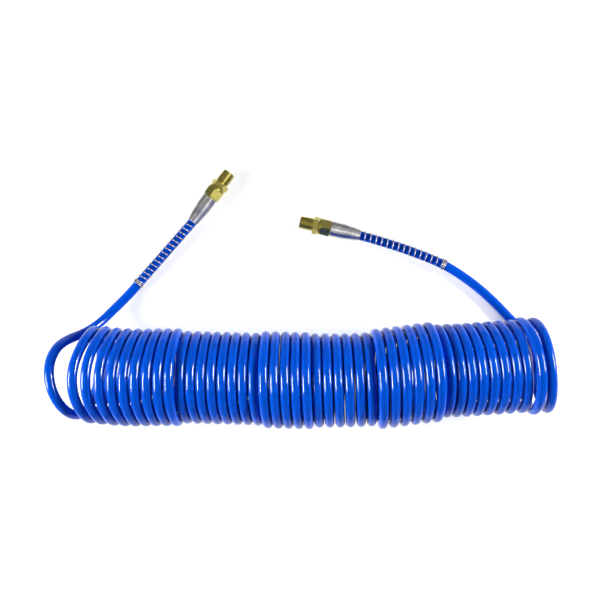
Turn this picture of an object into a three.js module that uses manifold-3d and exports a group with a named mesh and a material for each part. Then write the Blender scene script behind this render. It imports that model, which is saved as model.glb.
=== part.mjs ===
// Coiled air hose: one plastic tube, wound into a long coil, with a swivel pipe-thread fitting
// and a spring guard on each end. It lies on the floor, z = 0. Millimetres, +Z up, +X along the
// coil from the supply end to the tool end, +Y towards the fittings.
import * as THREE from 'three';
import { mergeVertices } from 'three/addons/utils/BufferGeometryUtils.js';
import Module from 'manifold-3d';

const wasm = await Module();
wasm.setup();

// The tube: 3/8 inch outside, 1/4 inch bore.
const HOSE_OUTER = 9.5;
const HOSE_BORE = 6.35;
const HOSE_SIDES = 8;
const HOSE_STEP = 19;

// The coil, as one fat tube along its bowed axis: x and y of the points that the axis follows.
const COIL_OUTER = 95;
const COIL_AXIS = [
  [-204.5, -78], [-150, -80.6], [-65, -82.2], [30, -84], [90, -80.5], [150, -74], [225, -69.4],
];
const COIL_SIDES = 24;
const COIL_STEPS = 14;

// The last turn leans away from the others and runs on as the tool end's tail.
// Its angle is counted from the back, over the top and down the front.
const LAST_TURN = {
  y: -69, outer: 94.5, startX: 231.2, endX: 238.5, startAngle: 90, endAngle: 248, steps: 8,
};

// The fittings: where the thread's tip is, and the heading from the tip towards the hose.
const FITTING_HEIGHT = 9.25;
const SUPPLY = { name: 'supply', tip: [-76.4, 126], heading: 232.9, bodyRoll: 28, nutRoll: 3 };
const TOOL = { name: 'tool', tip: [-4.2, 75.5], heading: -12.8, bodyRoll: 28, nutRoll: 8 };

// The tube's way from the mouth of each fitting to the coil.
const SUPPLY_ROUTE = [
  [-114.2, 76.1, 8.1], [-129.5, 58.7, 7.1], [-151, 34.2, 7.05], [-171.5, 10.8, 7],
  [-182, -1.5, 8.2], [-193.2, -12.6, 10], [-202.9, -23.5, 15], [-212, -32.6, 23],
  [-221.3, -38.8, 34], [-230.3, -43, 48], [-236.6, -49.2, 66], [-239.9, -60.1, 79.2],
  [-239.8, -74.8, 86.6], [-236.6, -90.2, 86.8], [-231.2, -103.9, 80.6], [-225.9, -113.3, 68.8],
  [-221.8, -117.7, 53.8], [-218.5, -117, 38], [-215.8, -111, 23.2], [-213.7, -100, 11.9],
  [-212, -87, 6],
];
const TOOL_ROUTE = [
  [57.8, 61.4, 8.1], [88, 52.8, 7.1], [118, 42.5, 7.05], [145.9, 30.7, 7],
  [163.2, 20.2, 5.2], [179.8, 8.1, 4.75], [192.3, -2.9, 4.75], [202.4, -12.8, 4.75],
  [216, -27.5, 4.75], [230, -40.5, 4.75], [238.5, -52, 4.75], [242, -67, 4.75],
];

// Along a fitting, u is counted from the thread's tip towards the hose.
const GAP = 0.3;
const THREAD_END = 13;
const THREAD_PITCH = 1.411;
const THREAD_DEPTH = 0.9;
const THREAD_TIP_RADIUS = 6.6;
const THREAD_TAPER = 1 / 32;
const BODY_HEX = { from: 14, to: 19.3, acrossFlats: 16, edgeRadius: 8.1 };
const NUT_COLLAR = { from: 19.7, radius: 8.5, round: 0.9 };
const NUT_HEX = { from: 22.2, to: 32.2, acrossFlats: 16, edgeRadius: 8.1 };
const AIRWAY_RADIUS = 3.6;
const SPIGOT_FROM = 9.4;
const SPIGOT_RADIUS = 4.7;
const SPIGOT_BORE = SPIGOT_RADIUS + GAP;
const O_RING = { at: 12.7, radius: 4.25, wire: 0.5, slotHalf: 0.9, slotRadius: 3.45 };
const RETAINING_RING = { at: 16.9, radius: 4.9, wire: 0.45, slotHalf: 0.8, slotIn: 4.1, slotOut: 5.7 };
const STEM_BORE = 2.2;
const NECK_RADIUS = 5.5;
const NECK_END = 28;
const BARB_RADIUS = 2.85;
const BARB_ROOT = 2.6;
const BARB_END = 41;
const HOSE_START = NECK_END + 0.4;
const NUT_BORE = NECK_RADIUS + GAP;
const SKIRT_RADIUS = 7.3;
const SKIRT_END = 43.5;
const MOUTH_RADIUS = 5.3;
const SLEEVE = { from: 29, to: 36.5, inner: 5.05, outer: 5.5 };
const STRAIGHT_STOPS = [HOSE_START, 37, 46];

// The spring guard: close turns over the skirt, tapering to the hose, then open turns along it.
const SPRING = {
  wire: 1.5, from: 33, openFrom: 62.6, closePitch: 1.65, openTurns: 15, endTurns: 2.6,
  wideRadius: 8.45, narrowRadius: 6.25, taperFrom: 44, stepsPerTurn: 8, sides: 4,
};
const SPRING_LENGTH = { supply: 149.5, tool: 157 };

const ROUND_SIDES = 24;
const UP = new THREE.Vector3(0, 0, 1);

const PAINTS = {
  hose: { color: 0x005adc, roughness: 0.22, metalness: 0 },
  brass: { color: 0x9c9148, roughness: 0.32, metalness: 1 },
  zinc: { color: 0xc8c9cc, roughness: 0.25, metalness: 1 },
  rubber: { color: 0x191919, roughness: 0.7, metalness: 0 },
  steel: { color: 0x8d8f93, roughness: 0.4, metalness: 1 },
};

// One closed solid from any geometry: shared vertices merged, slivers dropped, faces out.
function solid(geometry) {
  geometry.deleteAttribute('normal');
  geometry.deleteAttribute('uv');
  const merged = mergeVertices(geometry, 1e-4);
  const place = merged.getAttribute('position');
  const triangles = [];
  let volume = 0;
  const [a, b, c] = [new THREE.Vector3(), new THREE.Vector3(), new THREE.Vector3()];
  for (let i = 0; i < merged.index.count; i += 3) {
    const corner = [0, 1, 2].map((k) => merged.index.getX(i + k));
    if (new Set(corner).size < 3) continue;
    triangles.push(corner);
    a.fromBufferAttribute(place, corner[0]);
    b.fromBufferAttribute(place, corner[1]);
    c.fromBufferAttribute(place, corner[2]);
    volume += a.dot(b.cross(c));
  }
  const ordered = volume < 0 ? triangles.map(([p, q, r]) => [p, r, q]) : triangles;
  merged.setIndex(ordered.flat());
  return merged;
}

function toManifold(geometry) {
  const closed = solid(geometry);
  return new wasm.Manifold(new wasm.Mesh({
    numProp: 3,
    vertProperties: new Float32Array(closed.getAttribute('position').array),
    triVerts: new Uint32Array(closed.index.array),
  }));
}

function fromManifold(manifold) {
  const mesh = manifold.getMesh();
  const geometry = new THREE.BufferGeometry();
  geometry.setAttribute('position', new THREE.BufferAttribute(mesh.vertProperties, 3));
  geometry.setIndex(Array.from(mesh.triVerts));
  return solid(geometry);
}

// A profile of [u, radius] points that closes on itself, turned about the fitting's axis.
function turned(profile, sides = ROUND_SIDES) {
  const points = [...profile, profile[0]].map(([u, radius]) => new THREE.Vector2(radius, u));
  return new THREE.LatheGeometry(points, sides).rotateZ(-Math.PI / 2);
}

function polygon(radius, sides) {
  const points = [];
  for (let i = 0; i < sides; i += 1) {
    const angle = (2 * Math.PI * i) / sides;
    points.push(new THREE.Vector2(radius * Math.cos(angle), radius * Math.sin(angle)));
  }
  return points;
}

// A round section, with or without a bore, swept along a curve.
function swept(outerRadius, boreRadius, sides, curve, steps) {
  const section = new THREE.Shape(polygon(outerRadius, sides));
  if (boreRadius > 0) section.holes.push(new THREE.Path(polygon(boreRadius, sides)));
  curve.arcLengthDivisions = Math.max(200, steps * 4);
  return new THREE.ExtrudeGeometry(section, { steps, extrudePath: curve });
}

// A hexagonal bar along u whose corners are turned down to 30 degree chamfers at both ends.
function hexagon({ from, to, acrossFlats, edgeRadius }, roll) {
  const cornerRadius = acrossFlats / Math.sqrt(3);
  const bar = new THREE.ExtrudeGeometry(new THREE.Shape(polygon(cornerRadius, 6)), {
    depth: to - from, bevelEnabled: false,
  });
  bar.rotateY(Math.PI / 2).translate(from, 0, 0).rotateX(THREE.MathUtils.degToRad(roll));
  const drop = (cornerRadius - edgeRadius) * Math.tan(Math.PI / 6) + 0.01;
  const envelope = turned([
    [from, 0], [to, 0], [to, edgeRadius], [to - drop, cornerRadius + 0.05],
    [from + drop, cornerRadius + 0.05], [from, edgeRadius],
  ]);
  return toManifold(bar).intersect(toManifold(envelope));
}

// The taper thread as ridges round the pipe end, a chamfer at its tip and a relief at the hexagon.
function threadProfile() {
  const points = [[0, THREAD_TIP_RADIUS - THREAD_DEPTH]];
  for (let u = 0.6; u + THREAD_PITCH <= THREAD_END; u += THREAD_PITCH) {
    const crest = THREAD_TIP_RADIUS + u * THREAD_TAPER;
    points.push([u + THREAD_PITCH / 2, crest], [u + THREAD_PITCH, crest - THREAD_DEPTH]);
  }
  points.push([BODY_HEX.from + 0.5, THREAD_TIP_RADIUS - 0.3], [BODY_HEX.from + 0.5, 0], [0, 0]);
  return points;
}

function threadBody(roll) {
  const bore = [
    [-1, 0], [-1, AIRWAY_RADIUS], [SPIGOT_FROM - GAP, AIRWAY_RADIUS],
    [SPIGOT_FROM - GAP, SPIGOT_BORE],
    [RETAINING_RING.at - RETAINING_RING.slotHalf, SPIGOT_BORE],
    [RETAINING_RING.at - RETAINING_RING.slotHalf, RETAINING_RING.slotOut],
    [RETAINING_RING.at + RETAINING_RING.slotHalf, RETAINING_RING.slotOut],
    [RETAINING_RING.at + RETAINING_RING.slotHalf, SPIGOT_BORE],
    [BODY_HEX.to + 1, SPIGOT_BORE], [BODY_HEX.to + 1, 0],
  ];
  const outside = toManifold(turned(threadProfile())).add(hexagon(BODY_HEX, roll));
  return fromManifold(outside.subtract(toManifold(turned(bore))));
}

// Spigot with its two grooves, threaded neck, and a barb of three teeth for the hose.
function swivelStem() {
  const slots = [
    [O_RING.at - O_RING.slotHalf, O_RING.at + O_RING.slotHalf, O_RING.slotRadius],
    [RETAINING_RING.at - RETAINING_RING.slotHalf, RETAINING_RING.at + RETAINING_RING.slotHalf,
      RETAINING_RING.slotIn],
  ];
  const profile = [[SPIGOT_FROM, STEM_BORE], [SPIGOT_FROM, SPIGOT_RADIUS]];
  for (const [from, to, radius] of slots) {
    profile.push([from, SPIGOT_RADIUS], [from, radius], [to, radius], [to, SPIGOT_RADIUS]);
  }
  profile.push([NUT_COLLAR.from, SPIGOT_RADIUS], [NUT_COLLAR.from, NECK_RADIUS]);
  profile.push([NECK_END, NECK_RADIUS], [NECK_END, BARB_ROOT]);
  const tooth = (BARB_END - NECK_END) / 4;
  for (let i = 1; i <= 3; i += 1) {
    profile.push([NECK_END + i * tooth, BARB_RADIUS], [NECK_END + (i + 0.7) * tooth, BARB_ROOT]);
  }
  profile.push([BARB_END, STEM_BORE]);
  return solid(turned(profile));
}

function oRing() {
  const ring = new THREE.TorusGeometry(O_RING.radius, O_RING.wire, 8, ROUND_SIDES);
  return solid(ring.rotateY(Math.PI / 2).translate(O_RING.at, 0, 0));
}

// An open ring of round wire, so that it can spring into its groove.
class OpenRing extends THREE.Curve {
  getPoint(t, target = new THREE.Vector3()) {
    const angle = THREE.MathUtils.degToRad(20 + 320 * t);
    const { at, radius } = RETAINING_RING;
    return target.set(at, radius * Math.cos(angle), radius * Math.sin(angle));
  }
}

function retainingRing() {
  return solid(swept(RETAINING_RING.wire, 0, 6, new OpenRing(), 20));
}

function compressionSleeve() {
  const { from, to, inner, outer } = SLEEVE;
  return solid(turned([[from, inner], [from, outer], [to - 1, outer], [to, inner + 0.15], [to, inner]]));
}

// Collar, hexagon and skirt; the bore narrows behind the sleeve, so that tightening squeezes it.
function compressionNut(roll) {
  const collar = [
    [NUT_COLLAR.from, 0], [NUT_COLLAR.from, NUT_COLLAR.radius - NUT_COLLAR.round],
    [NUT_COLLAR.from + NUT_COLLAR.round, NUT_COLLAR.radius], [NUT_HEX.from, NUT_COLLAR.radius - 0.3],
    [NUT_HEX.from + 1, NUT_COLLAR.radius - 1], [NUT_HEX.from + 1, 0],
  ];
  const skirt = [
    [NUT_HEX.to - 1, 0], [SKIRT_END, 0], [SKIRT_END, SKIRT_RADIUS - 0.6],
    [SKIRT_END - 0.6, SKIRT_RADIUS], [NUT_HEX.to - 1, SKIRT_RADIUS],
  ];
  const bore = [
    [NUT_COLLAR.from - 1, 0], [NUT_COLLAR.from - 1, NUT_BORE], [SLEEVE.to, NUT_BORE],
    [SLEEVE.to + 3, MOUTH_RADIUS], [SKIRT_END + 1, MOUTH_RADIUS], [SKIRT_END + 1, 0],
  ];
  const turnedEnds = toManifold(turned(collar)).add(toManifold(turned(skirt)));
  const outside = hexagon(NUT_HEX, roll).add(turnedEnds);
  return fromManifold(outside.subtract(toManifold(turned(bore))));
}

function headingOf(end) {
  const angle = THREE.MathUtils.degToRad(end.heading);
  return new THREE.Vector3(Math.cos(angle), Math.sin(angle), 0);
}

function onAxis(end, u) {
  const tip = new THREE.Vector3(end.tip[0], end.tip[1], FITTING_HEIGHT);
  return tip.addScaledVector(headingOf(end), u);
}

function routeFrom(end, points) {
  const straight = STRAIGHT_STOPS.map((u) => onAxis(end, u));
  const free = points.map(([x, y, z]) => new THREE.Vector3(x, y, z));
  return new THREE.CatmullRomCurve3([...straight, ...free], false, 'centripetal');
}

// The last turn, from the floor up the front to its top.
function lastTurnPoints() {
  const { y, outer, startX, endX, startAngle, endAngle, steps } = LAST_TURN;
  const radius = (outer - HOSE_OUTER) / 2;
  const points = [];
  for (let i = 0; i <= steps; i += 1) {
    const share = i / steps;
    const angle = THREE.MathUtils.degToRad(endAngle + (startAngle - endAngle) * share);
    const x = endX + (startX - endX) * share;
    points.push([x, y + radius * Math.cos(angle), outer / 2 + radius * Math.sin(angle)]);
  }
  return points;
}

function hoseTail(curve) {
  const steps = Math.round(curve.getLength() / HOSE_STEP);
  return solid(swept(HOSE_OUTER / 2, HOSE_BORE / 2, HOSE_SIDES, curve, steps));
}

function hoseCoil() {
  const axis = COIL_AXIS.map(([x, y]) => new THREE.Vector3(x, y, COIL_OUTER / 2));
  const curve = new THREE.CatmullRomCurve3(axis, false, 'centripetal');
  const bore = COIL_OUTER / 2 - HOSE_OUTER;
  return solid(swept(COIL_OUTER / 2, bore, COIL_SIDES, curve, COIL_STEPS));
}

// The guard's wire winds round the hose's own path. Its turns and radius follow the distance s
// from the thread's tip: close turns, then open ones, then the closed end.
class SpringWire extends THREE.Curve {
  constructor(path, pathLength, length) {
    super();
    this.path = path;
    this.pathLength = pathLength;
    this.openTo = length - SPRING.endTurns * SPRING.closePitch;
    this.closeTurns = (SPRING.openFrom - SPRING.from) / SPRING.closePitch;
    this.turns = this.closeTurns + SPRING.openTurns + SPRING.endTurns;
  }

  distanceAt(turn) {
    const { from, openFrom, closePitch, openTurns } = SPRING;
    if (turn < this.closeTurns) return from + turn * closePitch;
    const open = turn - this.closeTurns;
    if (open < openTurns) return openFrom + ((this.openTo - openFrom) * open) / openTurns;
    return this.openTo + (open - openTurns) * closePitch;
  }

  radiusAt(s) {
    const { taperFrom, openFrom, wideRadius, narrowRadius } = SPRING;
    const share = THREE.MathUtils.clamp((s - taperFrom) / (openFrom - taperFrom), 0, 1);
    return wideRadius + (narrowRadius - wideRadius) * share;
  }

  getPoint(t, target = new THREE.Vector3()) {
    const turn = t * this.turns;
    const s = this.distanceAt(turn);
    const along = (s - HOSE_START) / this.pathLength;
    const centre = this.path.getPointAt(along);
    const ahead = this.path.getTangentAt(along);
    const side = new THREE.Vector3().crossVectors(UP, ahead).normalize();
    const lift = new THREE.Vector3().crossVectors(ahead, side);
    const angle = 2 * Math.PI * turn;
    const radius = this.radiusAt(s);
    target.copy(centre).addScaledVector(side, radius * Math.cos(angle));
    return target.addScaledVector(lift, radius * Math.sin(angle));
  }
}

function springGuard(end, path) {
  const wire = new SpringWire(path, path.getLength(), SPRING_LENGTH[end.name]);
  const steps = Math.round(wire.turns * SPRING.stepsPerTurn);
  return solid(swept(SPRING.wire / 2, 0, SPRING.sides, wire, steps));
}

function piece(name, geometry, paint) {
  const mesh = new THREE.Mesh(geometry, new THREE.MeshStandardMaterial(PAINTS[paint]));
  mesh.name = name;
  return mesh;
}

// The pieces that are turned about the fitting's own axis, placed with it.
function fitting(end) {
  const group = new THREE.Group();
  group.position.set(end.tip[0], end.tip[1], FITTING_HEIGHT);
  group.rotation.z = THREE.MathUtils.degToRad(end.heading);
  group.add(
    piece(`${end.name}_thread_body`, threadBody(end.bodyRoll), 'brass'),
    piece(`${end.name}_swivel_stem`, swivelStem(), 'brass'),
    piece(`${end.name}_o_ring`, oRing(), 'rubber'),
    piece(`${end.name}_retaining_ring`, retainingRing(), 'steel'),
    piece(`${end.name}_compression_sleeve`, compressionSleeve(), 'brass'),
    piece(`${end.name}_compression_nut`, compressionNut(end.nutRoll), 'brass'),
  );
  return group;
}

const supplyPath = routeFrom(SUPPLY, SUPPLY_ROUTE);
const toolPath = routeFrom(TOOL, [...TOOL_ROUTE, ...lastTurnPoints()]);

const hose = new THREE.Group();
hose.add(
  fitting(SUPPLY),
  fitting(TOOL),
  piece('supply_hose_tail', hoseTail(supplyPath), 'hose'),
  piece('hose_coil', hoseCoil(), 'hose'),
  piece('tool_hose_tail', hoseTail(toolPath), 'hose'),
  piece('supply_spring_guard', springGuard(SUPPLY, supplyPath), 'zinc'),
  piece('tool_spring_guard', springGuard(TOOL, toolPath), 'zinc'),
);

export default hose;
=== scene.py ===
"""The looks of the coiled air hose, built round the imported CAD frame.

Metres, +Z up, and the floor is z = 0. Lengths in the tables and curves are millimetres.
"""
import math

import bpy
import numpy as np
from mathutils import Matrix, Vector


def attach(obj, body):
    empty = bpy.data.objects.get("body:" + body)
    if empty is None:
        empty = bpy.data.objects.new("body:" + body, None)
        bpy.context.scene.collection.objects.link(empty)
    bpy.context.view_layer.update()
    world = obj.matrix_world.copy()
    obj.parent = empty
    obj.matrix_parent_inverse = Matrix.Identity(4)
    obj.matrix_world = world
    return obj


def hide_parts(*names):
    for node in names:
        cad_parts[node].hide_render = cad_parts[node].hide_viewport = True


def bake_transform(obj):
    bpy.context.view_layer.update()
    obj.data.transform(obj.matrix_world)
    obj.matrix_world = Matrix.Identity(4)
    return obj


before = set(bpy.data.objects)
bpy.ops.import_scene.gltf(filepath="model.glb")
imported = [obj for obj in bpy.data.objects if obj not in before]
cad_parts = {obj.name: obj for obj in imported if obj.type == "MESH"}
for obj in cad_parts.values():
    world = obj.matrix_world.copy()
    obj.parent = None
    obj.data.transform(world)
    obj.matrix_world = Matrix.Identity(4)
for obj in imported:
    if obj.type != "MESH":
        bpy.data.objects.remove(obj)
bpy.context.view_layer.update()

MM = 0.001

# The tube and its coil, in millimetres as in the CAD model.
HOSE_OUTER = 9.5
RINGS_PER_TURN = 60
HOSE_SIDES = 24
COIL_TURNS = 43.69
TAIL_STEP = 4.5
LEAD_RINGS = 6
EVEN_FROM = 50.0
EASE_ROUNDS = 6
# Where the coil's axis lies: turn, x, y. A turn is counted from the back, over the top and down
# the front.
COIL_AXIS = (
    (-0.75, -217.0, -77.0), (0.25, -206.3, -77.8), (3.25, -173.4, -80.6), (8.25, -123.7, -80.6),
    (15.0, -58.1, -82.3), (21.75, 8.1, -84.0), (27.5, 65.6, -82.7), (33.25, 125.2, -75.6),
    (37.0, 162.0, -73.4), (40.25, 195.9, -71.0), (41.25, 207.6, -70.3), (42.25, 217.8, -69.7),
    (43.25, 231.4, -69.0), (44.25, 243.5, -68.6),
)
# How far the turns' tops lean to the left: turn, millimetres.
COIL_LEAN = (
    (0.25, 10.0), (2.25, 7.5), (5.25, 5.2), (7.25, 3.4), (11.0, 2.9), (17.0, 2.4), (28.0, 0.0),
    (33.0, -2.0), (36.0, -2.6), (40.25, -3.0), (41.25, -1.6), (42.25, -3.3), (43.25, 0.6),
)
# The turns lie in groups of slightly different size: first turn of the group, outer diameter.
COIL_GROUPS = (
    (0, 96.4), (8.75, 91.5), (16.75, 95.6), (21.75, 92.9), (27.75, 99.0), (33.75, 92.5),
    (41.75, 96.4), (42.75, 94.5),
)
REGROUP_TURNS = 0.3
# The bowed coil's turns fan out by this much for each millimetre from where one stands square.
COIL_SKEW = -0.00034
SQUARE_AT = 22.0
# Small fixed waves in how the turns lie: millimetres, radians per turn, start.
STRAY_WAVES = ((0.05, 2.4, 0.7), (0.03, 5.1, 2.0))
# Steps in each span of a smooth curve.
SPAN_STEPS = 12

# The fittings, and the tube's way from each to the coil: the CAD route's points.
FITTING_HEIGHT = 9.25
HOSE_START = 28.4
STRAIGHT_STOPS = (HOSE_START, 37.0, 46.0)
SUPPLY_ROUTE = (
    (-114.2, 76.1, 8.1), (-129.5, 58.7, 7.1), (-151.0, 34.2, 7.05), (-171.5, 10.8, 7.0),
    (-182.0, -1.5, 8.2), (-193.2, -12.6, 10.0), (-202.9, -23.5, 15.0), (-212.0, -32.6, 23.0),
    (-221.3, -38.8, 34.0), (-230.3, -43.0, 48.0), (-236.6, -49.2, 66.0), (-239.9, -60.1, 79.2),
    (-239.8, -74.8, 86.6), (-236.6, -90.2, 86.8), (-231.2, -103.9, 80.6), (-225.9, -113.3, 68.8),
    (-221.8, -117.7, 53.8), (-218.5, -117.0, 38.0), (-215.8, -111.0, 23.2), (-213.7, -100.0, 11.9),
    (-211.8, -85.2, 5.5), (-210.0, -69.4, 5.0), (-208.3, -54.3, 10.2), (-206.9, -42.4, 21.0),
)
TOOL_ROUTE = (
    (57.8, 61.4, 8.1), (88.0, 52.8, 7.1), (118.0, 42.5, 7.05), (145.9, 30.7, 7.0),
    (163.2, 20.2, 5.2), (179.8, 8.1, 4.75), (192.3, -2.9, 4.75), (202.4, -12.8, 4.75),
    (216.0, -27.5, 4.75), (230.0, -40.5, 4.75), (238.5, -52.0, 4.75), (242.0, -67.0, 4.75),
)


class End:
    """One end of the hose: its fitting's axis, and how its hexagons stand."""

    def __init__(self, name, tip, heading, body_roll, nut_roll, spring_length):
        self.name = name
        self.tip = np.array((tip[0], tip[1], FITTING_HEIGHT))
        angle = math.radians(heading)
        self.ahead = np.array((math.cos(angle), math.sin(angle), 0.0))
        self.body_roll = body_roll
        self.nut_roll = nut_roll
        self.spring_length = spring_length

    def on_axis(self, u):
        return self.tip + self.ahead * u

    def matrix(self):
        """Places a piece built along +X from the thread's tip, in millimetres."""
        turn = Matrix.Rotation(math.atan2(self.ahead[1], self.ahead[0]), 4, "Z")
        return Matrix.Translation(Vector(self.tip * MM)) @ turn @ Matrix.Scale(MM, 4)


SUPPLY = End("supply", (-76.4, 126.0), 232.9, 28, 3, 149.5)
TOOL = End("tool", (-4.2, 75.5), -12.8, 28, 8, 157.0)
ENDS = (SUPPLY, TOOL)

# Along a fitting, u is counted from the thread's tip towards the hose.
THREAD_END = 13.0
THREAD_PITCH = 1.411
THREAD_DEPTH = 0.8
THREAD_CREST = 0.36
THREAD_RUN_OUT = 1.2
THREAD_STEPS_PER_PITCH = 20
THREAD_TIP_RADIUS = 6.6
THREAD_TAPER = 1 / 32
BODY_HEX = {"from": 14.0, "to": 19.3, "flat": 8.0, "edge": 8.1}
NUT_COLLAR = {"from": 19.7, "radius": 8.5, "round": 0.9}
NUT_HEX = {"from": 22.2, "to": 32.2, "flat": 8.0, "edge": 8.1}
# The hexagons' corners are filleted, and their ends turned down at 60 degrees, in steps this deep.
HEX_FILLET = 0.35
HEX_EDGE_INSET = 0.15
HEX_END_SLOPE = math.tan(math.radians(60))
HEX_END_DEPTHS = (0.0, 0.06, 0.14, 0.24, 0.36, 0.5, 0.68, 0.9, 1.1)
# Angles in one of a hexagon's six sectors, closer together at its corners.
SECTOR_ANGLES = (
    -30, -29.3, -28.4, -27.2, -25, -21, -16, -11, -5.5, 0, 5.5, 11, 16, 21, 25, 27.2, 28.4, 29.3,
)
AIRWAY_RADIUS = 3.6
SPIGOT_FROM = 9.4
SPIGOT_BORE = 5.0
NUT_BORE = 5.8
NUT_BORE_END = 36.5
MOUTH_FROM = 39.5
SKIRT_RADIUS = 7.3
SKIRT_END = 43.5
SKIRT_CHAMFER = 0.6
MOUTH_RADIUS = 5.3

# Edges sharper than this stay sharp on the turned pieces.
SHARP_ANGLE = math.radians(32)

INSIDE_METAL = ("swivel_stem", "compression_sleeve", "retaining_ring")

SPRING_WIRE = 1.5
SPRING_FROM = 33.0
SPRING_OPEN_FROM = 62.6
SPRING_CLOSE_PITCH = 1.62
SPRING_OPEN_TURNS = 15
SPRING_END_TURNS = 2.6
SPRING_WIDE = 8.55
SPRING_NARROW = 6.15
SPRING_TAPER_FROM = 44.0
SPRING_STEPS_PER_TURN = 36
SPRING_SIDES = 10
SPRING_DOME = 0.4


# ---------------------------------------------------------------- camera

def make_camera():
    data = bpy.data.cameras.new("camera")
    data.lens = 50
    data.sensor_width = 36
    data.clip_start = 0.01
    data.clip_end = 20
    camera = bpy.data.objects.new("camera", data)
    camera.location = (-0.004, -0.005, 0.867)
    bpy.context.collection.objects.link(camera)
    bpy.context.scene.camera = camera


# ---------------------------------------------------------------- curves

def through(points, steps):
    """A smooth curve through the points: a centripetal Catmull-Rom spline, steps to each span."""
    given = np.asarray(points, float)
    ends = (2 * given[0] - given[1], 2 * given[-1] - given[-2])
    knots = np.vstack([ends[0], given, ends[1]])
    curve = []
    for i in range(1, len(knots) - 2):
        a, b, c, d = knots[i - 1:i + 3]
        tb = np.linalg.norm(b - a) ** 0.5
        tc = tb + np.linalg.norm(c - b) ** 0.5
        td = tc + np.linalg.norm(d - c) ** 0.5
        for k in range(steps):
            t = tb + (tc - tb) * k / steps
            ab = (a * (tb - t) + b * t) / tb
            bc = (b * (tc - t) + c * (t - tb)) / (tc - tb)
            cd = (c * (td - t) + d * (t - tc)) / (td - tc)
            abc = (ab * (tc - t) + bc * t) / tc
            bcd = (bc * (td - t) + cd * (t - tb)) / (td - tb)
            curve.append((abc * (tc - t) + bcd * (t - tb)) / (tc - tb))
    curve.append(given[-1])
    return np.array(curve)


def distances(points):
    return np.concatenate([[0], np.cumsum(np.linalg.norm(np.diff(points, axis=0), axis=1))])


def evenly(points, step):
    """The same curve, with its points a step apart."""
    along = distances(points)
    at = np.linspace(0, along[-1], max(2, round(along[-1] / step)) + 1)
    return np.stack([np.interp(at, along, points[:, k]) for k in range(3)], 1)


def eased(points, first, last, rounds):
    """Rounds off the stretch between two of the points, where a route meets the coil."""
    out = points.copy()
    for _ in range(rounds):
        inner = out[first:last]
        out[first:last] = 0.5 * inner + 0.25 * (out[first - 1:last - 1] + out[first + 1:last + 1])
    return out


def smooth_step(x):
    x = min(1.0, max(0.0, x))
    return x * x * (3 - 2 * x)


def along_coil(rows, turn, column):
    """One column of a table by turns, at this turn: cubic spans with mean slopes."""
    turns = [row[0] for row in rows]
    values = [row[column] for row in rows]
    last = len(turns) - 1
    turn = max(turn, turns[0])
    i = min(last - 1, max(0, sum(1 for t in turns if t <= turn) - 1))

    def slope(k):
        lo, hi = max(0, k - 1), min(last, k + 1)
        return (values[hi] - values[lo]) / (turns[hi] - turns[lo])

    span = turns[i + 1] - turns[i]
    u = (turn - turns[i]) / span
    rise = u * u * (3 - 2 * u)
    start = (u ** 3 - 2 * u ** 2 + u) * span * slope(i)
    end = (u ** 3 - u ** 2) * span * slope(i + 1)
    return values[i] + (values[i + 1] - values[i]) * rise + start + end


def coil_diameter(turn):
    diameter = COIL_GROUPS[0][1]
    for before, after in zip(COIL_GROUPS, COIL_GROUPS[1:]):
        share = (turn - after[0]) / (2 * REGROUP_TURNS) + 0.5
        diameter += (after[1] - before[1]) * smooth_step(share)
    return diameter


def coil_point(turn):
    """The tube's centre on the coil, whose turns fan out and lean outwards at the top."""
    angle = 2 * math.pi * turn
    outer = coil_diameter(turn)
    radius = (outer - HOSE_OUTER) / 2
    x = along_coil(COIL_AXIS, turn, 1)
    skew = COIL_SKEW * (x - SQUARE_AT)
    top = max(0.0, math.sin(angle)) ** 2
    stray = sum(size * math.sin(rate * turn + start) for size, rate, start in STRAY_WAVES)
    return np.array((
        x + radius * math.cos(angle) * skew - along_coil(COIL_LEAN, turn, 1) * top + stray,
        along_coil(COIL_AXIS, turn, 2) + radius * math.cos(angle) * math.sqrt(1 - skew * skew),
        outer / 2 + radius * math.sin(angle),
    ))


def hose_path():
    """The tube's centreline from the supply fitting to the tool fitting, and each point's share.

    The share is 0 on the supply tail, grows evenly with the turns along the coil, and is 1 on the
    tool tail.
    """
    turns = np.arange(round(COIL_TURNS * RINGS_PER_TURN) + 1) / RINGS_PER_TURN
    coil = np.array([coil_point(t) for t in turns])
    first = [SUPPLY.on_axis(u) for u in STRAIGHT_STOPS]
    last = [TOOL.on_axis(u) for u in reversed(STRAIGHT_STOPS)]
    supply = through([*first, *SUPPLY_ROUTE, coil[0], coil[LEAD_RINGS]], SPAN_STEPS)
    tool = through([coil[-1 - LEAD_RINGS], coil[-1], *reversed(TOOL_ROUTE), *last], SPAN_STEPS)
    supply, tool = supply[:-SPAN_STEPS], tool[SPAN_STEPS:]
    supply = evenly(supply, TAIL_STEP)[:-1]
    tool = evenly(tool, TAIL_STEP)[1:]
    path = np.vstack([supply, coil, tool])
    share = np.concatenate([np.zeros(len(supply)), turns / turns[-1], np.ones(len(tool))])
    kept = round(EVEN_FROM / TAIL_STEP)
    path = eased(path, kept, len(supply) + 2 * LEAD_RINGS, EASE_ROUNDS)
    path = eased(path, len(path) - len(tool) - 2 * LEAD_RINGS, len(path) - kept, EASE_ROUNDS)
    return path, share


# ---------------------------------------------------------------- meshes

def new_object(name, vertices, faces, smooth=True):
    mesh = bpy.data.meshes.new(name)
    mesh.from_pydata([tuple(v) for v in vertices], [], [tuple(f) for f in faces])
    mesh.validate()
    mesh.update()
    if smooth:
        mesh.shade_smooth()
    made = bpy.data.objects.new(name, mesh)
    bpy.context.collection.objects.link(made)
    return made


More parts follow.
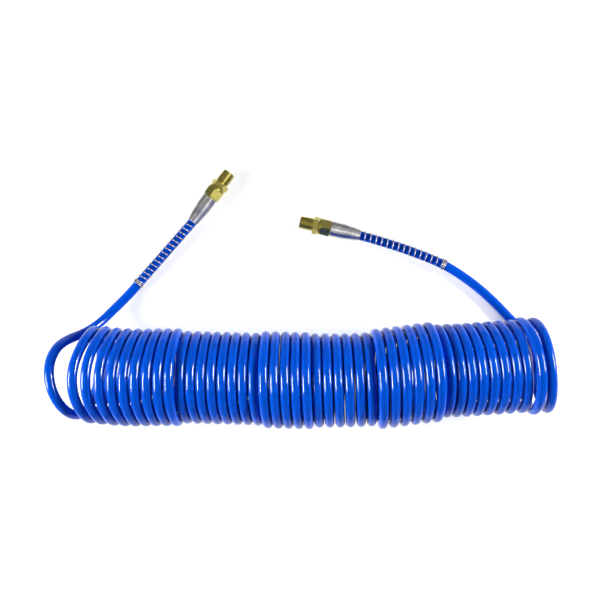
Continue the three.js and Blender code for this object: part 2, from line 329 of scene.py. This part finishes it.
def frames_along(path):
    """A tangent and two normals at each point, carried along without twist."""
    tangents = np.gradient(path, axis=0)
    tangents /= np.linalg.norm(tangents, axis=1)[:, None]
    normal = np.cross(tangents[0], (0, 0, 1))
    if np.linalg.norm(normal) < 1e-6:
        normal = np.array((1.0, 0, 0))
    sides = []
    for tangent in tangents:
        normal = normal - tangent * np.dot(normal, tangent)
        normal /= np.linalg.norm(normal)
        sides.append(normal)
    sides = np.array(sides)
    return tangents, sides, np.cross(tangents, sides)


def tube(name, path, radius, sides, dome=0.0):
    """A closed round tube along the path, its ends flat or domed by that share of the radius."""
    tangents, side, lift = frames_along(path)
    angles = 2 * math.pi * np.arange(sides) / sides
    cos, sin = np.cos(angles)[None, :, None], np.sin(angles)[None, :, None]
    circle = cos * side[:, None, :] + sin * lift[:, None, :]
    rings = path[:, None, :] + radius * circle
    vertices = list(rings.reshape(-1, 3))
    faces = []
    for i in range(len(path) - 1):
        for k in range(sides):
            a = i * sides + k
            b = i * sides + (k + 1) % sides
            faces.append((a, a + sides, b + sides, b))
    last = (len(path) - 1) * sides
    vertices.append(path[0] - tangents[0] * radius * dome)
    vertices.append(path[-1] + tangents[-1] * radius * dome)
    start, end = len(vertices) - 2, len(vertices) - 1
    for k in range(sides):
        faces.append((start, k, (k + 1) % sides))
        faces.append((end, last + (k + 1) % sides, last + k))
    return new_object(name, np.array(vertices) * MM, faces)


def point_values(thing, name, values):
    attribute = thing.data.attributes.new(name, "FLOAT", "POINT")
    attribute.data.foreach_set("value", np.asarray(values, np.float32))


def shell(name, outer, inner, angles, matrix):
    """A closed turned piece. outer and inner are (u, radius at each angle) rows, tip to rear."""
    rows = list(outer) + list(reversed(inner))
    count = len(angles)
    cos, sin = np.cos(angles), np.sin(angles)
    vertices = []
    for u, radius in rows:
        r = np.broadcast_to(radius, (count,))
        vertices.extend(zip(np.full(count, u), r * cos, r * sin))
    faces = []
    for i in range(len(rows)):
        j = (i + 1) % len(rows)
        for k in range(count):
            m = (k + 1) % count
            faces.append((i * count + k, i * count + m, j * count + m, j * count + k))
    made = new_object(name, vertices, faces)
    made.data.transform(matrix)
    made.data.set_sharp_from_angle(angle=SHARP_ANGLE)
    return made


# ---------------------------------------------------------------- materials

class Nodes:
    """A short way to write a material's nodes."""

    def __init__(self, name, color, roughness, metallic):
        self.material = bpy.data.materials.new(name)
        self.material.use_nodes = True
        self.tree = self.material.node_tree
        self.shader = self.tree.nodes["Principled BSDF"]
        self.shader.inputs["Base Color"].default_value = (*color, 1)
        self.shader.inputs["Roughness"].default_value = roughness
        self.shader.inputs["Metallic"].default_value = metallic

    def add(self, kind, **inputs):
        node = self.tree.nodes.new(kind)
        for key, value in inputs.items():
            if hasattr(node, key):
                setattr(node, key, value)
            else:
                self.put(node.inputs[key.replace("_", " ")], value)
        return node

    def put(self, socket, value):
        if isinstance(value, bpy.types.NodeSocket):
            self.tree.links.new(value, socket)
        else:
            socket.default_value = value

    def link(self, value, name):
        self.tree.links.new(value, self.shader.inputs[name])

    def place(self):
        return self.add("ShaderNodeTexCoord").outputs["Object"]

    def noise(self, vector, scale, detail=3.0, roughness=0.5):
        node = self.add("ShaderNodeTexNoise", Scale=scale, Detail=detail, Roughness=roughness)
        self.put(node.inputs["Vector"], vector)
        return node.outputs["Fac"]

    def ranged(self, value, low, high, start=0.0, end=1.0):
        node = self.add("ShaderNodeMapRange")
        limits = {"From Min": start, "From Max": end, "To Min": low, "To Max": high}
        for key, number in limits.items():
            node.inputs[key].default_value = number
        self.put(node.inputs["Value"], value)
        return node.outputs["Result"]

    def mix(self, factor, first, second, blend="MIX"):
        node = self.add("ShaderNodeMix")
        node.data_type = "RGBA"
        node.blend_type = blend
        self.put(node.inputs[0], factor)
        for socket, value in ((node.inputs[6], first), (node.inputs[7], second)):
            self.put(socket, (*value, 1) if isinstance(value, tuple) else value)
        return node.outputs[2]

    def bump(self, height, distance, strength=1.0, after=None):
        node = self.add("ShaderNodeBump", Strength=strength, Distance=distance, Height=height)
        if after is not None:
            self.put(node.inputs["Normal"], after)
        return node.outputs["Normal"]

    def attribute(self, name):
        node = self.add("ShaderNodeAttribute")
        node.attribute_name = name
        return node.outputs["Fac"]

    def vector(self, x, y, z):
        node = self.add("ShaderNodeCombineXYZ")
        for key, value in (("X", x), ("Y", y), ("Z", z)):
            self.put(node.inputs[key], value)
        return node.outputs["Vector"]


def hose_material():
    """Glossy extruded plastic: faint die lines along the tube, cloudy colour, light scuffs."""
    m = Nodes("hose_plastic", (0.0, 0.095, 0.56), 0.1, 0.0)
    around = m.attribute("around")
    along = m.attribute("along")
    lines = m.noise(m.vector(around, m.ranged(along, 0.0, 4.0, 0.0, 10.0), 0.0), 26.0, 2.0)
    cloud = m.noise(m.place(), 38.0, 3.0)
    scuffs = m.noise(m.place(), 1500.0, 3.0, 0.6)
    deep = m.mix(m.ranged(cloud, 0.0, 1.0, 0.35, 0.65), (0.0, 0.073, 0.57), (0.0, 0.08, 0.62))
    m.link(deep, "Base Color")
    m.link(m.ranged(scuffs, 0.09, 0.15, 0.45, 0.8), "Roughness")
    m.link(m.bump(lines, 0.00002, 0.12, m.bump(scuffs, 0.00001, 0.06)), "Normal")
    m.shader.inputs["IOR"].default_value = 1.5
    m.shader.inputs["Specular IOR Level"].default_value = 0.22
    return m.material


def brass_material(name):
    """Machined brass: a fine grain from the tools, and tarnish in patches."""
    m = Nodes(name, (0.55, 0.48, 0.2), 0.28, 1.0)
    place = m.place()
    cloud = m.noise(place, 90.0, 4.0)
    grain = m.noise(place, 1400.0, 3.0)
    tarnish = m.mix(m.ranged(cloud, 0.0, 1.0, 0.35, 0.7), (0.62, 0.54, 0.16), (0.5, 0.43, 0.1))
    m.link(tarnish, "Base Color")
    m.link(m.ranged(grain, 0.24, 0.38, 0.3, 0.75), "Roughness")
    m.link(m.bump(grain, 0.00002, 0.35), "Normal")
    return m.material


def zinc_material():
    """Bright plated spring wire, with drawing marks and dull spots."""
    m = Nodes("plated_wire", (0.8, 0.8, 0.82), 0.2, 1.0)
    place = m.place()
    cloud = m.noise(place, 160.0, 3.0)
    grain = m.noise(place, 2200.0, 2.0)
    dulled = m.mix(m.ranged(cloud, 0.0, 1.0, 0.4, 0.7), (0.93, 0.93, 0.94), (0.74, 0.74, 0.77))
    m.link(dulled, "Base Color")
    m.link(m.ranged(grain, 0.08, 0.2, 0.3, 0.75), "Roughness")
    m.link(m.bump(grain, 0.00001, 0.3), "Normal")
    return m.material


def rubber_material():
    m = Nodes("seal_rubber", (0.018, 0.018, 0.018), 0.55, 0.0)
    grain = m.noise(m.place(), 1800.0, 3.0)
    m.link(m.ranged(grain, 0.45, 0.65, 0.3, 0.7), "Roughness")
    m.link(m.bump(grain, 0.00002, 0.4), "Normal")
    return m.material


def steel_material():
    m = Nodes("ring_steel", (0.5, 0.5, 0.52), 0.3, 1.0)
    grain = m.noise(m.place(), 1500.0, 3.0)
    m.link(m.mix(grain, (0.56, 0.56, 0.58), (0.4, 0.4, 0.42)), "Base Color")
    m.link(m.ranged(grain, 0.25, 0.45, 0.3, 0.7), "Roughness")
    return m.material


def put_material(thing, material):
    thing.data.materials.clear()
    thing.data.materials.append(material)


# ---------------------------------------------------------------- hose

def make_hose():
    path, share = hose_path()
    hose = tube("air_hose", path, HOSE_OUTER / 2, HOSE_SIDES)
    along = distances(path) * MM
    around = np.arange(HOSE_SIDES) / HOSE_SIDES
    wrapped = np.abs(2 * around - 1)
    ends = (0.0, 0.0)
    point_values(hose, "along", [*np.repeat(along, HOSE_SIDES), along[0], along[-1]])
    point_values(hose, "around", [*np.tile(wrapped, len(path)), *ends])
    put_material(hose, hose_material())
    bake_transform(hose)
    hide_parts("supply_hose_tail", "hose_coil", "tool_hose_tail")
    return hose, path


# ---------------------------------------------------------------- spring guards

def spring_guard(end, path, material):
    """The wire winds round the hose's own path: close turns, open turns, then the closed end."""
    close_turns = (SPRING_OPEN_FROM - SPRING_FROM) / SPRING_CLOSE_PITCH
    open_to = end.spring_length - SPRING_END_TURNS * SPRING_CLOSE_PITCH
    turns = close_turns + SPRING_OPEN_TURNS + SPRING_END_TURNS
    stops = [0, close_turns, close_turns + SPRING_OPEN_TURNS, turns]
    reached = [SPRING_FROM, SPRING_OPEN_FROM, open_to, end.spring_length]
    turn = np.linspace(0, turns, round(turns * SPRING_STEPS_PER_TURN) + 1)
    s = np.interp(turn, stops, reached)
    share = np.clip((s - SPRING_TAPER_FROM) / (SPRING_OPEN_FROM - SPRING_TAPER_FROM), 0, 1)
    radius = SPRING_WIDE + (SPRING_NARROW - SPRING_WIDE) * share
    along = distances(path) + HOSE_START
    centre = np.stack([np.interp(s, along, path[:, k]) for k in range(3)], 1)
    ahead = np.stack([np.interp(s, along, np.gradient(path[:, k], along)) for k in range(3)], 1)
    ahead /= np.linalg.norm(ahead, axis=1)[:, None]
    side = np.cross((0, 0, 1), ahead)
    side /= np.linalg.norm(side, axis=1)[:, None]
    lift = np.cross(ahead, side)
    angle = 2 * math.pi * turn
    round_hose = np.cos(angle)[:, None] * side + np.sin(angle)[:, None] * lift
    wire = centre + radius[:, None] * round_hose
    spring = tube(f"{end.name}_spring", wire, SPRING_WIRE / 2, SPRING_SIDES, dome=SPRING_DOME)
    put_material(spring, material)
    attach(spring, f"{end.name}_end")
    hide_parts(f"{end.name}_spring_guard")
    return spring


# ---------------------------------------------------------------- fittings

def rounded_hexagon(flat, fillet, angles, roll):
    """The distance from the axis to a hexagon with filleted corners, at each angle."""
    third = math.pi / 3
    from_flat = (angles - math.radians(roll) + math.pi / 6) % third - math.pi / 6
    from_flat = np.abs(from_flat)
    radius = flat / np.cos(from_flat)
    centre = (flat - fillet) / math.cos(math.pi / 6)
    off = math.pi / 6 - from_flat
    reach = centre * np.cos(off) + np.sqrt(np.maximum(0, fillet ** 2 - (centre * np.sin(off)) ** 2))
    on_corner = flat * np.tan(from_flat) > (flat - fillet) * math.tan(math.pi / 6)
    return np.where(on_corner, reach, radius)


def hexagon_rows(hexagon, angles, roll):
    """The hexagon's flats with their turned-down ends."""
    shape = rounded_hexagon(hexagon["flat"], HEX_FILLET, angles, roll)
    length = hexagon["to"] - hexagon["from"]
    depths = [*HEX_END_DEPTHS, *(length - depth for depth in reversed(HEX_END_DEPTHS))]
    rows = []
    for depth in depths:
        edge = hexagon["edge"] - HEX_EDGE_INSET + HEX_END_SLOPE * min(depth, length - depth)
        rows.append((hexagon["from"] + depth, np.minimum(shape, edge)))
    return rows


def hexagon_angles(roll):
    """Angles round the axis, closer together at the hexagon's corners."""
    angles = np.concatenate([np.array(SECTOR_ANGLES) + 60 * k for k in range(6)])
    return np.radians(angles + roll)


def thread_rows(angles):
    """The taper pipe thread: a helix with flattened crests, from the tip to its run-out."""
    rows = []
    steps = round(THREAD_END / THREAD_PITCH * THREAD_STEPS_PER_PITCH)
    flank = (1 - THREAD_CREST) / 2
    for i in range(steps + 1):
        u = THREAD_END * i / steps
        phase = (u / THREAD_PITCH - angles / (2 * math.pi)) % 1.0
        ridge = np.clip((1 - np.abs(2 * phase - 1) - flank / 2) / flank, 0, 1)
        crest = THREAD_TIP_RADIUS + u * THREAD_TAPER
        fade = smooth_step((THREAD_END - u) / THREAD_RUN_OUT)
        radius = crest - THREAD_DEPTH * (1 - ridge * fade)
        chamfer = THREAD_TIP_RADIUS - THREAD_DEPTH + 0.1 + 0.9 * u
        rows.append((u, np.minimum(radius, chamfer)))
    return rows


def thread_body(end, material):
    angles = hexagon_angles(end.body_roll)
    outer = thread_rows(angles) + [(BODY_HEX["from"], THREAD_TIP_RADIUS - 0.35)]
    outer += hexagon_rows(BODY_HEX, angles, end.body_roll)
    inner = [
        (0.0, AIRWAY_RADIUS + 0.4), (0.4, AIRWAY_RADIUS), (SPIGOT_FROM - 0.3, AIRWAY_RADIUS),
        (SPIGOT_FROM - 0.3, SPIGOT_BORE), (BODY_HEX["to"], SPIGOT_BORE),
    ]
    body = shell(f"{end.name}_thread", outer, inner, angles, end.matrix())
    put_material(body, material)
    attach(body, f"{end.name}_swivel")
    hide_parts(f"{end.name}_thread_body")
    return body


def collar_rows():
    """The nut's collar, with a rounded front edge and a shallow groove before the hexagon."""
    start, radius, fillet = NUT_COLLAR["from"], NUT_COLLAR["radius"], NUT_COLLAR["round"]
    rows = []
    for degrees in range(0, 91, 15):
        angle = math.radians(degrees)
        u = start + fillet * (1 - math.cos(angle))
        rows.append((u, radius - fillet * (1 - math.sin(angle))))
    rows += [(NUT_HEX["from"] - 0.5, radius), (NUT_HEX["from"] - 0.25, radius - 0.35)]
    return rows


def compression_nut(end, material):
    angles = hexagon_angles(end.nut_roll)
    outer = collar_rows() + hexagon_rows(NUT_HEX, angles, end.nut_roll)
    outer += [
        (NUT_HEX["to"], SKIRT_RADIUS), (SKIRT_END - SKIRT_CHAMFER, SKIRT_RADIUS),
        (SKIRT_END, SKIRT_RADIUS - SKIRT_CHAMFER),
    ]
    inner = [
        (NUT_COLLAR["from"], NUT_BORE), (NUT_BORE_END, NUT_BORE), (MOUTH_FROM, MOUTH_RADIUS),
        (SKIRT_END, MOUTH_RADIUS),
    ]
    nut = shell(f"{end.name}_nut", outer, inner, angles, end.matrix())
    put_material(nut, material)
    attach(nut, f"{end.name}_end")
    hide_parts(f"{end.name}_compression_nut")
    return nut


# ---------------------------------------------------------------- stage

def make_floor():
    size = 8.0
    corners = [(-size, -size, 0), (size, -size, 0), (size, size, 0), (-size, size, 0)]
    floor = new_object("floor", corners, [(0, 1, 2, 3)], smooth=False)
    m = Nodes("floor_paint_and_glow", (0.75, 0.75, 0.75), 0.9, 0.0)
    m.shader.inputs["Specular IOR Level"].default_value = 0.0
    # Painted light: the pale floor glows white, though it is no lamp.
    m.shader.inputs["Emission Color"].default_value = (1, 1, 1, 1)
    reach = m.add("ShaderNodeVectorMath", operation="LENGTH")
    m.put(reach.inputs[0], m.place())
    # The painted glow is 0.5 within 0.6 m of the middle and rises to 0.95 by 2 m out.
    painted_glow = m.ranged(reach.outputs["Value"], 0.5, 0.95, 0.6, 2.0)
    # Painted shade: ambient occlusion takes the floor's glow away underneath the coil and at the
    # hose's contacts, where hardly any light gets in.
    cover = m.add("ShaderNodeAmbientOcclusion", Distance=0.12)
    painted_shade_mask = m.ranged(cover.outputs["AO"], 0.0, 1.0, 0.05, 0.35)
    strength = m.add("ShaderNodeMath", operation="MULTIPLY")
    m.put(strength.inputs[0], painted_glow)
    m.put(strength.inputs[1], painted_shade_mask)
    m.link(strength.outputs["Value"], "Emission Strength")
    put_material(floor, m.material)
    floor.visible_glossy = False
    return floor


# The studio's brightness by the height of the direction: bright below the floor's level, dim above.
STUDIO = (
    (-1.0, 1.2), (-0.36, 1.2), (-0.22, 0.06), (-0.05, 0.06), (-0.03, 0.3), (0.35, 0.18),
    (0.6, 0.05), (1.0, 0.012),
)
# The curve's values reach from 0 to 1, so the brightness is held as a share of this.
STUDIO_MOST = 2.0


def make_world():
    world = bpy.data.worlds.new("studio")
    bpy.context.scene.world = world
    world.use_nodes = True
    tree = world.node_tree
    background = tree.nodes["Background"]
    where = tree.nodes.new("ShaderNodeTexCoord")
    split = tree.nodes.new("ShaderNodeSeparateXYZ")
    tree.links.new(where.outputs["Generated"], split.inputs[0])
    curve = tree.nodes.new("ShaderNodeFloatCurve")
    spread = tree.nodes.new("ShaderNodeMapRange")
    spread.inputs["From Min"].default_value = -1.0
    line = curve.mapping.curves[0]
    while len(line.points) < len(STUDIO):
        line.points.new(0.5, 0.5)
    for point, (height, strength) in zip(line.points, STUDIO):
        point.location = ((height + 1) / 2, strength / STUDIO_MOST)
        point.handle_type = "VECTOR"
    curve.mapping.update()
    scaled = tree.nodes.new("ShaderNodeMath")
    scaled.operation = "MULTIPLY"
    scaled.inputs[1].default_value = STUDIO_MOST
    tree.links.new(split.outputs["Z"], spread.inputs["Value"])
    tree.links.new(spread.outputs["Result"], curve.inputs["Value"])
    tree.links.new(curve.outputs["Value"], scaled.inputs[0])
    # To the camera the room behind the hose is plain white.
    seen = tree.nodes.new("ShaderNodeLightPath")
    either = tree.nodes.new("ShaderNodeMath")
    either.operation = "MAXIMUM"
    tree.links.new(scaled.outputs["Value"], either.inputs[0])
    tree.links.new(seen.outputs["Is Camera Ray"], either.inputs[1])
    tree.links.new(either.outputs["Value"], background.inputs["Strength"])
    background.inputs["Color"].default_value = (1, 1, 1, 1)


def lit_things(name, things):
    """A collection that a light is kept to."""
    kept = bpy.data.collections.new(name)
    for thing in things:
        kept.objects.link(thing)
    return kept


def area_light(name, place, target, size, energy, lit, diffuse=True):
    data = bpy.data.lights.new(name, "AREA")
    data.shape = "RECTANGLE"
    data.size, data.size_y = size
    data.energy = energy
    light = bpy.data.objects.new(name, data)
    light.location = place
    light.rotation_euler = (Vector(target) - Vector(place)).to_track_quat("-Z", "Y").to_euler()
    light.visible_diffuse = diffuse
    light.visible_camera = False
    light.light_linking.receiver_collection = lit
    bpy.context.collection.objects.link(light)


def make_lights(plastic, metal):
    """Strips on the left and right for the hose, and wide soft boxes for the metal."""
    target = (0, -0.08, 0.05)
    left, right = (-1.5, -0.24, 0.75), (1.5, 0.23, 0.75)
    area_light("left_strip", left, target, (0.9, 0.34), 40, plastic)
    area_light("right_strip", right, target, (0.8, 0.26), 36, plastic)
    area_light("left_sparkle", left, target, (0.75, 0.34), 200, plastic, diffuse=False)
    area_light("right_sparkle", right, target, (0.65, 0.26), 150, plastic, diffuse=False)
    fittings = (0, 0.08, 0)
    area_light("side_box", (1.35, 0.32, 0.85), fittings, (2.0, 0.7), 4, metal)
    area_light("high_box", (0.6, -0.15, 1.35), fittings, (0.7, 0.7), 5, metal)
    area_light("left_box", (-1.35, -0.3, 0.85), fittings, (0.6, 0.4), 2.5, metal)
    area_light("ceiling_box", (0, 0.1, 1.6), fittings, (4.0, 4.0), 18, metal)


# ---------------------------------------------------------------- the whole object

def main():
    make_camera()
    hose, path = make_hose()
    wire = zinc_material()
    springs = [spring_guard(SUPPLY, path, wire), spring_guard(TOOL, path[::-1], wire)]
    fittings = []
    for end in ENDS:
        brass = brass_material(f"{end.name}_brass")
        fittings += [thread_body(end, brass), compression_nut(end, brass)]
        for name in ("swivel_stem", "compression_sleeve"):
            put_material(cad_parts[f"{end.name}_{name}"], brass)
    seal, ring = rubber_material(), steel_material()
    for end in ENDS:
        put_material(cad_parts[f"{end.name}_o_ring"], seal)
        put_material(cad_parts[f"{end.name}_retaining_ring"], ring)
    floor = make_floor()
    make_world()
    inside = [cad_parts[f"{end.name}_{name}"] for end in ENDS for name in INSIDE_METAL]
    plastic = lit_things("plastic", [hose, floor])
    metal = lit_things("metal", [*springs, *fittings, *inside])
    make_lights(plastic, metal)
    bpy.context.scene.view_settings.view_transform = "Standard"


main()
